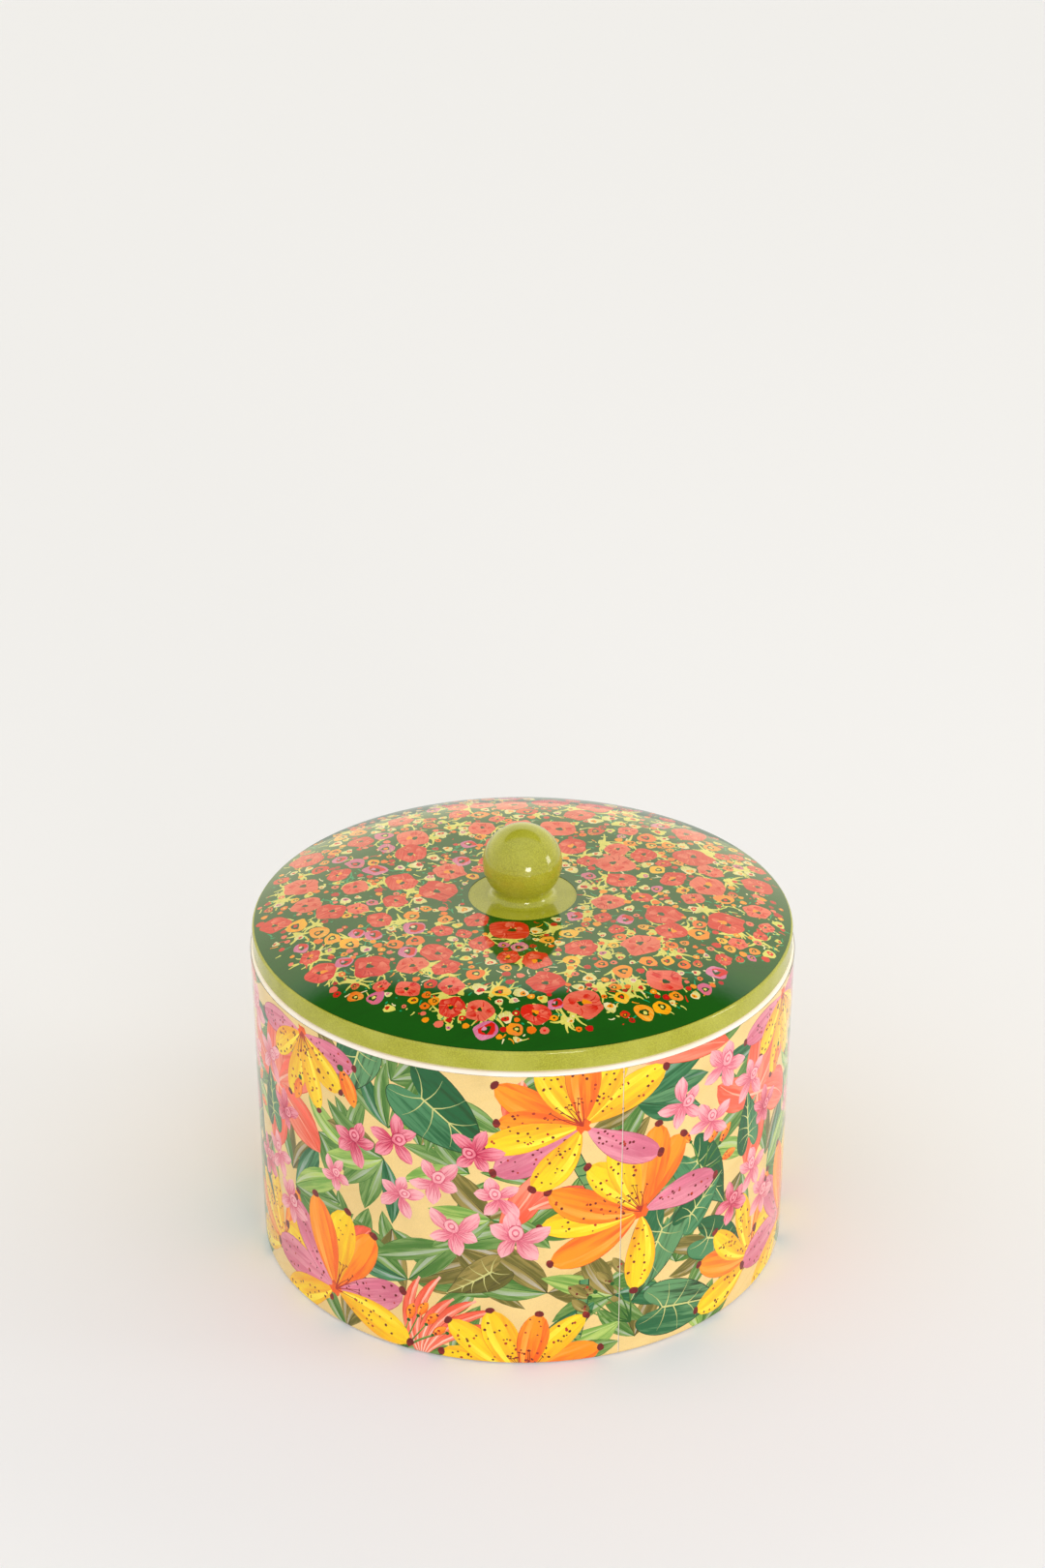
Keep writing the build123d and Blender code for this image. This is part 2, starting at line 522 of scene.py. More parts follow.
# %% [markdown]
# The knob is a ball that grows out of the lid through a small hollow curve, where slip and glaze
# fill the joint. The curve touches both the ball and the lid's flat crown, which fixes its place.
# %% Knob
KNOB_SINK = 0.8
KNOB_FILLET = 2.4
KNOB_LIP = 0.15
ball_height = knob_radius - KNOB_SINK
curve_reach = math.sqrt((knob_radius + KNOB_FILLET) ** 2 - (ball_height - KNOB_FILLET) ** 2)
knob_foot = curve_reach - math.sqrt(KNOB_FILLET**2 - (KNOB_FILLET - KNOB_LIP) ** 2)


def arc_pairs(centre, size, start, end, steps, side=1):
    """Points and normals along an arc between two angles, in degrees. Side -1 is a hollow."""
    angles = [math.radians(start + (end - start) * step / steps) for step in range(steps + 1)]
    outs = [Vector((math.cos(a), math.sin(a))) for a in angles]
    return [(Vector(centre) + out * size, out * side) for out in outs]


def make_knob(glaze):
    """The ball and its hollow foot."""
    hollow = (curve_reach, crown_height + KNOB_FILLET)
    ball = (0, crown_height + ball_height)
    lean = math.degrees(math.atan2(hollow[1] - ball[1], hollow[0]))
    foot = arc_pairs(hollow, KNOB_FILLET, 270, 180 + lean, 14, side=-1)
    body = arc_pairs(ball, knob_radius, lean, 90, 48)[1:]
    ends = [(Vector((0, crown_height)), Vector((0, -1)))]
    made = spin("knob_ball", ends + foot + body, glaze)
    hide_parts("knob")
    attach(made, "lid")


make_knob(make_lid())

# %% [markdown]
# A fired-on print is flat colour with hard edges, shaded with brush marks. An image would blur up
# close, so each print is drawn here as closed outlines on a flat sheet, in millimetres, one laid
# over the other. Inks are given as they look on screen and turned into Blender's linear colour.
# The gloss over them adds a little white to everything, which is taken off again here. Two shapes
# give nearly all of it: a blade, for petals and leaves, and a blob, for spots and round flowers.
# %% Inks and outlines
SHEEN = 0.04
SCREEN_POWER = 2.2
DARKEST = 0.002


def ink(red, green, blue):
    """A screen colour, 0 to 255, seen through gloss, as a linear one."""
    linear = [(value / 255) ** SCREEN_POWER for value in (red, green, blue)]
    return tuple(max(DARKEST, (value - SHEEN) / (1 - SHEEN)) for value in linear)


def smoothed(outline, rounds=2):
    """Cuts the corners off a closed outline, a quarter of each side at a time."""
    points = [Vector(point) for point in outline]
    for _ in range(rounds):
        pairs = list(zip(points, points[1:] + points[:1]))
        points = [spot for a, b in pairs for spot in (a * 0.75 + b * 0.25, a * 0.25 + b * 0.75)]
    return points


def heading(angle):
    """A unit step in a direction given in degrees, with 0 to the right and 90 up."""
    return Vector((math.cos(math.radians(angle)), math.sin(math.radians(angle))))


def toward(place, angle, reach=1.0, share=1.0):
    """A point that lies part of a reach away, in a direction given in degrees."""
    return Vector(place) + heading(angle) * reach * share


def left_of(along):
    """A direction turned a quarter to the left."""
    return Vector((-along.y, along.x))


def bow(start, end, bend, share):
    """A point part of the way along a bowed line, and the line's direction there."""
    start, end = Vector(start), Vector(end)
    control = (start + end) / 2 + left_of(end - start) * bend
    point = start * (1 - share) ** 2 + control * 2 * share * (1 - share) + end * share**2
    along = (control - start) * (1 - share) + (end - control) * share
    return point, along.normalized()


def half_width(share, belly, blunt):
    """Half a blade's width part of the way along, as a share of its full width."""
    return math.sin(math.pi * share ** (math.log(0.5) / math.log(belly))) ** blunt / 2


def blade(start, end, width, bend=0.0, belly=0.5, blunt=0.8, steps=9, wobble=0.0):
    """The outline of a petal or leaf: pointed or blunt, widest at the belly, along a bowed line."""
    left, right = [], []
    for step in range(1, steps):
        share = step / steps
        point, along = bow(start, end, bend, share)
        half = width * half_width(share, belly, blunt) * (1 + uniform(-wobble, wobble))
        side = left_of(along) * half
        left.append(point + side)
        right.append(point - side)
    return [Vector(start), *right, Vector(end), *reversed(left)]


def stroke(start, end, thick, thin, bend=0.0, steps=6):
    """A brush line that tapers from thick to thin along a bowed line."""
    left, right = [], []
    for step in range(steps + 1):
        share = step / steps
        point, along = bow(start, end, bend, share)
        side = left_of(along) * (thick + (thin - thick) * share) / 2
        left.append(point + side)
        right.append(point - side)
    return right + left[::-1]


def blob(middle, radius, lobes=0, depth=0.0, rough=0.08, flat=1.0, lean=0.0, steps=14):
    """A round spot, with uneven lobes if asked, roughened as by a loaded brush."""
    phase, other = uniform(0, math.tau), uniform(0, math.tau)
    points = []
    for step in range(steps):
        a = math.tau * step / steps
        wave = math.cos(lobes * a + phase) + 0.7 * math.cos((lobes - 2) * a + other)
        reach = radius * (1 + depth * wave + uniform(-rough, rough))
        spot = (reach * math.cos(a), reach * flat * math.sin(a))
        points.append(Vector(middle) + turned(spot, lean))
    return points


# %% [markdown]
# A sheet collects outlines and what each is painted with: a paint, a second tint, and the line
# from base to tip along which the one runs into the other. A sheet that wraps round the jar
# repeats: it starts at any place across, an outline past its end comes back at the other, and one
# that crosses an end is laid at both, so that the picture runs on over the join.
# %% Sheet of outlines
GROUND_STROKE = (60, 25)


class Sheet:
    """A flat print, drawn as outlines in millimetres."""

    def __init__(self, border, ground, tint, repeat=0.0, start=0.0):
        self.repeat, self.start, self.hole = repeat, start, None
        self.outlines, self.looks = [], []
        self.keep(border, (*ground, 0.25), (*tint, 0.0), (0, 0), GROUND_STROKE, 0.5)

    def keep(self, outline, paint, tint, base, tip, seed):
        """Stores one outline, its points in counter-clockwise order."""
        sides = zip(outline, outline[1:] + outline[:1])
        area = sum(a[0] * b[1] - b[0] * a[1] for a, b in sides)
        self.outlines.append(outline if area > 0 else outline[::-1])
        self.looks.append((*paint, *tint, *base, *tip, seed))

    def lay(self, outline, paint, tint=None, base=None, tip=None, fade=0.7, streak=0.35):
        """Lays an outline on top. Fade is how far the tint takes over at the tip."""
        base = Vector(base or outline[0])
        tip = Vector(tip or outline[len(outline) // 2])
        seed = random.random()
        shifts = [0.0]
        if self.repeat:
            spots = [point[0] for point in outline]
            first = math.ceil((self.start - max(spots)) / self.repeat)
            last = math.ceil((self.start - min(spots)) / self.repeat)
            shifts = [self.repeat * turn for turn in range(first, last + 1)]
        for shift in shifts:
            step = Vector((shift, 0))
            moved = [Vector(point) + step for point in outline]
            self.keep(moved, (*paint, streak), (*(tint or paint), fade), base + step, tip + step, seed)


# %% [markdown]
# To become a surface the sheet is cut into triangles that no visible colour edge crosses. It takes
# two rounds of Blender's Delaunay routine. The first cuts along every outline and says which ones
# each triangle lies in, and the last one laid gives its look. Much of that is hidden under later
# paint, so the second round keeps only the lines where the look changes, which halves the count.
# Extra cut lines keep the triangles short enough to bend with the clay.
# %% Cut a sheet into triangles
NEAR = 1e-4
OUTSIDE = -1


def edges_of(face):
    """Pairs of neighbouring corners, all the way round."""
    return zip(face, face[1:] + face[:1])


def look_of(owners, hole):
    """The look of a triangle that lies in these outlines."""
    return max(owners) if 0 in owners and hole not in owners else OUTSIDE


def cut_along(points, edges, lines):
    """Points and triangles of Blender's routine, cut along edges and some extra lines."""
    ends = [Vector(end) for line in lines for end in line]
    cuts = [(first, first + 1) for first in range(len(points), len(points) + len(ends), 2)]
    spots, _, faces, *_ = delaunay_2d_cdt(points + ends, edges + cuts, [], 0, NEAR, True)
    return spots, faces


def middle_of(face, spots):
    """The middle of a triangle."""
    return sum((spots[corner] for corner in face), Vector((0, 0))) / 3


def cut_sheet(sheet, lines):
    """Returns the flat points, the triangles, and the number of each triangle's look."""
    points = [Vector(point) for outline in sheet.outlines for point in outline]
    loops, start = [], 0
    for outline in sheet.outlines:
        loops.append(list(range(start, start + len(outline))))
        start += len(outline)
    spots, _, faces, _, _, owners = delaunay_2d_cdt(points, [], loops, 1, NEAR, True)
    looks = [look_of(owner, sheet.hole) for owner in owners]
    beside = {edge: look for face, look in zip(faces, looks) for edge in edges_of(face)}
    borders = [edge for edge, look in beside.items() if look > beside.get(edge[::-1], OUTSIDE)]
    first = BVHTree.FromPolygons([spot.to_3d() for spot in spots], faces)
    spots, faces = cut_along(*used_only(spots, borders), lines)
    kept = []
    for face in faces:
        above = middle_of(face, spots).to_3d() + Vector((0, 0, 1))
        hit = first.ray_cast(above, Vector((0, 0, -1)))[2]
        if hit is not None and looks[hit] != OUTSIDE:
            kept.append((face, looks[hit]))
    flat, solid = used_only(spots, [face for face, _ in kept])
    return flat, solid, [look for _, look in kept]


def used_only(spots, faces, fixed=0):
    """Drops unused points, but keeps the first few fixed, and renumbers the triangles."""
    used = sorted({corner for face in faces for corner in face if corner >= fixed})
    place = {old: fixed + new for new, old in enumerate(used)}
    fresh = [[place.get(corner, corner) for corner in face] for face in faces]
    return list(spots[:fixed]) + [spots[old] for old in used], fresh


def open_edges(faces):
    """The edges that only one triangle has, in the direction it runs."""
    seen = {edge for face in faces for edge in edges_of(face)}
    return [edge for edge in seen if edge[::-1] not in seen]


# %% [markdown]
# The printed skin is closed, like the real layer: a painted front, a thin edge all round, and a
# plain back against the clay, which shares the front's edge points but has none of its detail.
# To tell the back's triangles from those outside the sheet, a line is run from each one's middle
# to the right: inside, it crosses the edge an odd number of times.
# %% Back of a skin
def backing(rim, joins, lines):
    """Points and triangles that fill the rim, which is given as points and joins between them."""
    spots, faces = cut_along(rim, joins, lines)
    starts = np.array([rim[a] for a, _ in joins])
    stops = np.array([rim[b] for _, b in joins])
    kept = []
    for face in faces:
        x, y = middle_of(face, spots)
        crosses = (starts[:, 1] > y) != (stops[:, 1] > y)
        rise = np.where(crosses, stops[:, 1] - starts[:, 1], 1)
        across = starts[:, 0] + (y - starts[:, 1]) / rise * (stops[:, 0] - starts[:, 0])
        if np.count_nonzero(crosses & (across > x)) % 2:
            kept.append(list(face))
    return used_only(spots, kept, len(rim))


# %% [markdown]
# What each triangle is painted with goes on its corners as four named attributes: the paint, the
# tint, the brush's place (how far along, how far across, and a number of its own) and its touch
# (how much it fades and streaks). The texture map is the flat sheet itself, which has no stretch.
# %% Lay a sheet on the clay
SKIN = 0.15
BURY = 0.03
MAP_EDGE = 0.02


def write_corners(mesh, name, values):
    """Stores three numbers on each corner."""
    stored = mesh.attributes.new(name, "FLOAT_VECTOR", "CORNER").data
    stored.foreach_set("vector", values.astype(np.float32).ravel())


def paint_corners(mesh, sheet, flat, solid, looks):
    """Writes paint, tint, brush and touch on every corner."""
    look = np.array([sheet.looks[index] for index in looks])
    look = np.repeat(look, [len(face) for face in solid], axis=0)
    paint, streak, tint, fade, base, tip, seed = np.split(look, [3, 4, 7, 8, 10, 12], axis=1)
    spots = np.array(flat)[[corner for face in solid for corner in face]]
    span, reach = tip - base, spots - base
    length = np.maximum((span**2).sum(1), 1e-6)
    along = (span * reach).sum(1) / length
    across = (span[:, 0] * reach[:, 1] - span[:, 1] * reach[:, 0]) / length
    write_corners(mesh, "paint", paint)
    write_corners(mesh, "tint", tint)
    write_corners(mesh, "brush", np.column_stack([along, across, seed]))
    write_corners(mesh, "touch", np.column_stack([streak, fade, along * 0]))


def lay_map(mesh, flat, solid, fronts):
    """Maps the front to the flat sheet and tucks the edge and back into a thin strip below it."""
    spots = np.array(flat)
    low, high = spots.min(0), spots.max(0)
    places = ((spots - low) / (high - low))[[corner for face in solid for corner in face]]
    hidden = np.arange(len(places)) >= 3 * fronts
    up = places[:, 1]
    places[:, 1] = np.where(hidden, up * MAP_EDGE, 2 * MAP_EDGE + up * (1 - 2 * MAP_EDGE))
    layer = mesh.uv_layers.new(name="OFBake")
    layer.uv.foreach_set("vector", places.astype(np.float32).ravel())


def skin_object(name, sheet, lines, curve, material):
    """Wraps a sheet on the clay. Curve gives the place and normal, in mm, of a flat point."""
    spots, faces, looks = cut_sheet(sheet, lines)
    edges = open_edges(faces)
    rim = sorted({corner for edge in edges for corner in edge})
    order = {corner: index for index, corner in enumerate(rim)}
    behind, under = backing([spots[c] for c in rim], [(order[a], order[b]) for a, b in edges], lines)
    first = len(spots)
    sides = [[b, a, first + order[a], first + order[b]] for a, b in edges]
    solid = faces + sides + [[first + corner for corner in face[::-1]] for face in under]
    flat = spots + behind
    lifts = [SKIN] * first + [-BURY] * len(behind)
    placed = [curve(point) for point in flat]
    verts = [(place + normal * lift) * MM for (place, normal), lift in zip(placed, lifts)]
    normals = [normal * math.copysign(1, lift) for (_, normal), lift in zip(placed, lifts)]
    made = mesh_object(name, verts, solid, normals, [material])
    paint_corners(made.data, sheet, flat, solid, looks + [0] * (len(solid) - len(faces)))
    lay_map(made.data, flat, solid, len(faces))
    print(f"{name}: {len(sheet.outlines)} outlines, {len(solid)} faces")
    return made


# %% [markdown]
# The print's own shading is one node group, brush_marks: the tint comes in towards the tip, and
# long streaks of noise that follow the brush break it up, as in gouache. The material adds the
# glaze's clouds, and a fine grain where the print's ink sits in the glaze.
# %% Print material
STROKE_STRETCH = (1.6, 17.0, 91.0)
PRINT_GRAIN = 0.05


def brush_marks():
    """Builds the group. It puts out how much of the tint shows."""
    group = bpy.data.node_groups.new("brush_marks", "ShaderNodeTree")
    socket(group, "Brush", "NodeSocketVector", "INPUT")
    socket(group, "Fade", "NodeSocketFloat", "INPUT", 0.7)
    socket(group, "Streak", "NodeSocketFloat", "INPUT", 0.3)
    socket(group, "Tint", "NodeSocketFloat", "OUTPUT")
    start = group.nodes.new("NodeGroupInput").outputs
    inputs = {0: start["Brush"], 1: STROKE_STRETCH}
    stretched = add(group, "ShaderNodeVectorMath", inputs, operation="MULTIPLY").outputs[0]
    streaks = mapped(group, noise(group, stretched, 1.0, 3.0, 0.6), 0.30, 0.72, -1.0, 1.0)
    rise = mapped(group, split(group, start["Brush"])["X"], 0.05, 0.95)
    fade = maths(group, "MULTIPLY", rise, start["Fade"])
    marks = maths(group, "MULTIPLY", streaks, start["Streak"])
    add(group, "NodeGroupOutput", {"Tint": maths(group, "ADD", fade, marks, clamp=True)})
    return group


def attribute(tree, name, output):
    """Reads a named attribute."""
    return add(tree, "ShaderNodeAttribute", attribute_name=name).outputs[output]


BRUSH_MARKS = brush_marks()


def print_material(name):
    """A fired-on print under clear gloss glaze."""
    material, tree, shader, flow = new_material(name)
    touch = split(tree, attribute(tree, "touch", "Vector"))
    inputs = {"Brush": attribute(tree, "brush", "Vector"), "Streak": touch["X"], "Fade": touch["Y"]}
    marks = add(tree, "ShaderNodeGroup", inputs, node_tree=BRUSH_MARKS)
    paint, tint = attribute(tree, "paint", "Color"), attribute(tree, "tint", "Color")
    colour = mixed(tree, marks.outputs["Tint"], paint, tint)
    grain = mapped(tree, flow.outputs["Specks"], 0.3, 0.7, 1.0 - PRINT_GRAIN, 1.0 + PRINT_GRAIN)
    clouds = mapped(tree, flow.outputs["Clouds"], 0.3, 0.7, 0.95, 1.05)
    inputs = {0: colour, "Scale": maths(tree, "MULTIPLY", grain, clouds)}
    shade = add(tree, "ShaderNodeVectorMath", inputs, operation="SCALE")
    fill(tree, shader.inputs["Base Color"], shade.outputs[0])
    return material


# %% [markdown]
# The jar's print is a dense tropical garden on cream: spotted lilies, sprays of pink blossom,
# arrow-shaped leaves with pale veins, long blades, coral fronds and little buds. It is drawn once,
# for a third of the way round, and repeats three times, as a printer's sheet would. These are
# ordinary plants of this lesson's own drawing, so each kind is a function that can be laid
# anywhere, at any size and turn. Every ink is a set of three: paint, second tint and dark edge.
# %% Inks for the garden
CREAM, CREAM_DEEP = ink(230, 200, 136), ink(218, 184, 110)
YELLOW = (ink(246, 206, 8), ink(238, 166, 8), ink(224, 124, 18))
ORANGE = (ink(248, 150, 18), ink(240, 108, 8), ink(204, 80, 18))
MAUVE = (ink(204, 112, 132), ink(230, 150, 162), ink(160, 70, 98))
PINK = (ink(224, 120, 136), ink(242, 178, 180), ink(206, 98, 116))
ROSE = (ink(206, 82, 104), ink(236, 150, 160), ink(176, 62, 84))
CORAL = (ink(230, 98, 76), ink(242, 142, 116), ink(200, 68, 50))
TEAL = (ink(88, 138, 98), ink(58, 104, 72), ink(44, 84, 58))
PINE = (ink(66, 110, 78), ink(104, 148, 104), ink(42, 78, 54))
LEAF = (ink(134, 162, 98), ink(86, 124, 68), ink(64, 100, 54))
SPRING = (ink(176, 198, 110), ink(122, 162, 84), ink(92, 134, 66))
OLIVE = (ink(156, 140, 84), ink(110, 106, 64), ink(88, 82, 50))
BROWN, RUST, VEIN = ink(116, 56, 44), ink(176, 72, 24), ink(206, 204, 132)

# %% [markdown]
# A petal is four strokes deep: a darker edge, the petal itself, a crescent of shade down one side
# and a light one down the other. Spots and a scorched tip go on last, as on a real tiger lily. So
# that a whole lily fits on one line, its inks are given as a word, with one letter for each petal.
# %% Petals and lilies
LILY_INKS = {"Y": YELLOW, "O": ORANGE, "M": MAUVE}
PETAL_WIDTH = 0.35
PETAL_SPOTS = 18
STAMENS = 9


def crescent(start, end, width, bend, near, far, belly=0.5, blunt=0.8):
    """A sliver of a petal between two shares of its half width, on one side of its middle."""
    outer = blade(start, end, width * far, bend, belly, blunt)
    inner = blade(start, end, width * near, bend, belly, blunt)
    half = len(outer) // 2
    return outer[: half + 1] + inner[1:half][::-1]


def petal(sheet, base, tip, width, colours, bend=0.0, spots=0, burnt=0.0, belly=0.6, blunt=0.6):
    """One petal with its edge, shade, light and markings."""
    paint, tint, edge = colours
    base, tip = Vector(base), Vector(tip)
    sheet.lay(blade(base, tip, width + 0.4, bend, belly, blunt, 11), edge, paint, fade=0.3)
    sheet.lay(blade(base, tip, width, bend, belly, blunt, 11), paint, tint, tip, base, 0.75, 0.45)
    sheet.lay(crescent(base, tip, width, bend, 0.5, 0.97, belly, blunt), tint, paint, base, tip, 0.5, 0.4)
    light = tuple(min(1.0, value * 1.2 + 0.04) for value in paint)
    sheet.lay(crescent(base, tip, -width, bend, 0.3, 0.72, belly, blunt), light, paint, base, tip, 0.8, 0.4)
    for _ in range(spots):
        share = uniform(0.14, 0.88)
        point, along = bow(base, tip, bend, share)
        side = left_of(along) * width * half_width(share, belly, blunt)
        middle = point + side * uniform(-0.8, 0.8)
        spot = blob(middle, uniform(0.3, 0.58), rough=0.2, steps=6)
        sheet.lay(spot, choice((BROWN, BROWN, RUST)))
    if burnt:
        _, along = bow(base, tip, bend, 1)
        lean = math.atan2(along.y, along.x)
        scorch = blob(tip - along * burnt * 0.35, burnt, rough=0.12, flat=1.35, lean=lean, steps=10)
        sheet.lay(scorch, BROWN, RUST, tip, base, 0.4, 0.5)


def stamens(sheet, at, reach, turn, spread):
    """Fine threads with a dark anther at each end."""
    for index in range(STAMENS):
        angle = turn + spread * (index / (STAMENS - 1) - 0.5) + uniform(-6, 6)
        end = toward(at, angle, reach, uniform(0.6, 1.1))
        sheet.lay(stroke(at, end, 0.42, 0.2, uniform(-0.2, 0.2)), RUST, BROWN)
        sheet.lay(blob(end, 0.6, rough=0.1, flat=0.4, lean=math.radians(angle + 70), steps=8), BROWN)


def lily(sheet, at, reach, turns, inks):
    """A lily: one petal for each turn and each letter of its inks, the later ones on top."""
    for turn, letter in zip(turns, inks):
        colours = LILY_INKS[letter]
        tip = toward(at, turn, reach, uniform(0.86, 1.08))
        wide = reach * PETAL_WIDTH * uniform(0.85, 1.12)
        spots = PETAL_SPOTS if colours is not ORANGE or random.random() < 0.5 else 0
        bend = uniform(-0.13, 0.13)
        petal(sheet, toward(at, turn), tip, wide, colours, bend, spots, reach * 0.04)
    sheet.lay(blob(at, reach * 0.08, 6, 0.2, 0.1), ORANGE[1], RUST, at, toward(at, 90, 3), 0.6, 0.6)
    middle = turns[-1] * 0.5 + sum(turns) / len(turns) * 0.5
    stamens(sheet, at, reach * 0.34, middle, 75)


# %% [markdown]
# The pink blossoms are small and come in sprays. Each has five pointed petals, rose at the heart
# and pale at the tip, with fine lines along them, and a trumpet that stands off the middle.
# %% Blossoms
def blossom(sheet, at, reach, turn, colours):
    """A five-petalled blossom with a trumpet."""
    paint, tint, edge = colours
    for index in (2, 3, 1, 4, 0):
        angle = turn + 72 * index + uniform(-14, 14)
        tip = toward(at, angle, reach, uniform(0.8, 1.15))
        wide, bend = reach * uniform(0.42, 0.56), uniform(-0.22, 0.22)
        sheet.lay(blade(at, tip, wide + 0.3, bend, 0.55, 0.75, 8, 0.06), edge, tint, at, tip, 0.4)
        sheet.lay(blade(at, tip, wide, bend, 0.55, 0.75, 8, 0.06), paint, tint, at, tip, 1.0, 0.4)
        sheet.lay(crescent(at, tip, wide, bend, 0.55, 0.95, 0.55, 0.75), paint, tint, at, tip, 0.6, 0.5)
        for side in (-14, 0, 14):
            end = toward(at, angle + side, reach, uniform(0.45, 0.7))
            sheet.lay(stroke(at, end, 0.3, 0.1, bend, 3), edge)
    throat = toward(at, turn + uniform(-30, 30), reach, 0.2)
    lean = math.radians(turn)
    sheet.lay(blob(throat, reach * 0.29, 5, 0.05, 0.05, 0.85, lean), edge)
    sheet.lay(blob(throat, reach * 0.25, 5, 0.05, 0.05, 0.85, lean), tint, paint, throat, at, 0.5)
    sheet.lay(blob(throat, reach * 0.15, rough=0.06, flat=0.8, lean=lean, steps=10), paint, edge)
    sheet.lay(blob(throat, reach * 0.08, rough=0.1, steps=7), tint)


# %% [markdown]
# Leaves carry the garden's darker colours. The arrow-shaped ones start from one half outline, a
# few points from tip to stalk, which is mirrored and then smoothed by cutting its corners. One
# half lies in shadow, and pale veins leave the midrib at a slant. Blades have a streak of light. A
# fan of them takes its inks from a word too, whose letters are used over and over.
# %% Leaves
LEAF_INKS = {"L": LEAF, "T": TEAL, "S": SPRING, "O": OLIVE, "P": PINE}
ARROW = ((1.0, 0.0), (0.80, 0.08), (0.48, 0.27), (0.12, 0.36), (-0.20, 0.34), (-0.36, 0.20), (-0.24, 0.07))
VEINS = ((0.0, 142, 0.33), (0.04, 96, 0.30), (0.16, 66, 0.34), (0.38, 46, 0.26), (0.6, 36, 0.15))


def arrow_leaf(sheet, base, length, turn, colours, broad):
    """An arrow-shaped leaf with a pointed tip, two lobes at its stalk and pale veins."""
    base, angle = Vector(base), math.radians(turn)
    paint, tint, edge = colours
    left, right = [], []
    for half, side in ((left, 1), (right, -1)):
        for x, y in ARROW:
            spot = (x * length, side * y * length * broad * uniform(0.93, 1.07))
            half.append(base + turned(spot, angle))
    tip, near = left[0], toward(base, turn, 0.3)
    outline = smoothed([*left, near, *reversed(right[1:])])
    sheet.lay([base + (point - base) * 1.025 for point in outline], edge)
    sheet.lay(outline, paint, tint, base, tip, 0.7, 0.8)
    sheet.lay(smoothed([*left, near]), tint, edge, base, tip, 0.45, 0.8)
    sheet.lay(stroke(base, tip, 0.7, 0.2, 0.03), VEIN)
    for share, slant, reach in VEINS:
        for side in (-1, 1):
            root, _ = bow(base, tip, 0.03, share)
            end = root + heading(turn + side * slant) * length * reach * broad
            sheet.lay(stroke(root, end, 0.42, 0.12, -0.16 * side, 4), VEIN, paint, root, end, 0.5, 0.2)


def blade_leaf(sheet, base, tip, width, colours, bend):
    """A long leaf with a streak of light and a midrib."""
    paint, tint, edge = colours
    base, tip = Vector(base), Vector(tip)
    sheet.lay(blade(base, tip, width + 0.3, bend, 0.5, 0.85), edge, tint, fade=0.5)
    sheet.lay(blade(base, tip, width, bend, 0.5, 0.85), paint, tint, base, tip, 0.8, 0.6)
    sheet.lay(crescent(base, tip, width, bend, 0.06, 0.94, 0.5, 0.85), tint, paint, base, tip, 0.5, 0.6)
    pale = tuple(value * 0.6 + 0.24 for value in paint)
    sheet.lay(crescent(base, tip, -width, bend, 0.24, 0.6, 0.5, 0.85), pale, paint, base, tip, 0.9, 0.5)
    sheet.lay(stroke(base, tip, 0.4, 0.1, bend), edge, tint, fade=0.6)


def fan(sheet, at, reach, turns, width, inks):
    """Blades that spread from one place. The letters of its inks are used in turn."""
    for index, turn in enumerate(turns):
        tip = toward(at, turn, reach, uniform(0.85, 1.1))
        wide, colours = width * uniform(0.85, 1.2), LEAF_INKS[inks[index % len(inks)]]
        blade_leaf(sheet, at, tip, wide, colours, uniform(-0.2, 0.2))


# %% [markdown]
# The rest fills the spaces: coral fronds, a fan of narrow ribbons, banded stalks, and sprays of
# buds on thin stems. A bud is a small spotted petal with a dark cap.
# %% Fronds, stalks and buds
RIBBONS = 6
BANDS = 14


def frond(sheet, base, tip, width):
    """A broad coral leaf with a pale line down its middle."""
    petal(sheet, base, tip, width, CORAL, 0.15, belly=0.55, blunt=0.75)
    end = Vector(tip) * 0.94 + Vector(base) * 0.06
    sheet.lay(stroke(base, end, 1.0, 0.2, 0.15), ink(246, 184, 156), CORAL[1])


def ribbons(sheet, base, reach, turn):
    """A fan of narrow coral ribbons, 12 degrees apart."""
    for index in range(RIBBONS):
        angle = turn + (index - (RIBBONS - 1) / 2) * 12
        tip = toward(base, angle, reach, uniform(0.8, 1.05))
        petal(sheet, base, tip, 3.6, CORAL, 0.28)
        sheet.lay(stroke(base, tip, 0.3, 0.9, 0.25), ink(250, 200, 176), CORAL[1])


def stalk(sheet, base, tip, width, bend):
    """A banded green stalk."""
    sheet.lay(stroke(base, tip, width + 0.4, width, bend), PINE[2])
    sheet.lay(stroke(base, tip, width, width * 0.8, bend), LEAF[0], TEAL[0], base, tip, 0.8, 0.4)
    for step in range(1, BANDS):
        point, along = bow(base, tip, bend, step / BANDS)
        side = left_of(along) * width * 0.46
        sheet.lay(stroke(point - side, point + side + along * 0.8, 0.7, 0.4, 0.2, 3), TEAL[1])


def bud(sheet, at, length, turn, colours):
    """A small spotted bud with a dark cap at its stem."""
    tip = toward(at, turn, length)
    petal(sheet, at, tip, length * 0.42, colours, 0.06, 3, 0, 0.5, 0.7)
    sheet.lay(blob(at, length * 0.1, steps=7), LEAF[2])


def spray(sheet, root, reach, turn, spread, count, colours, length=7.0):
    """Buds on thin stems that spread from one root."""
    for index in range(count):
        angle = turn + spread * (index / (count - 1) - 0.5) + uniform(-5, 5)
        end = toward(root, angle, reach, uniform(0.55, 1.05))
        sheet.lay(stroke(root, end, 0.7, 0.4, uniform(-0.15, 0.15)), LEAF[2], SPRING[1], root, end)
        bud(sheet, end, length * uniform(0.85, 1.15), angle + uniform(-30, 30), colours)


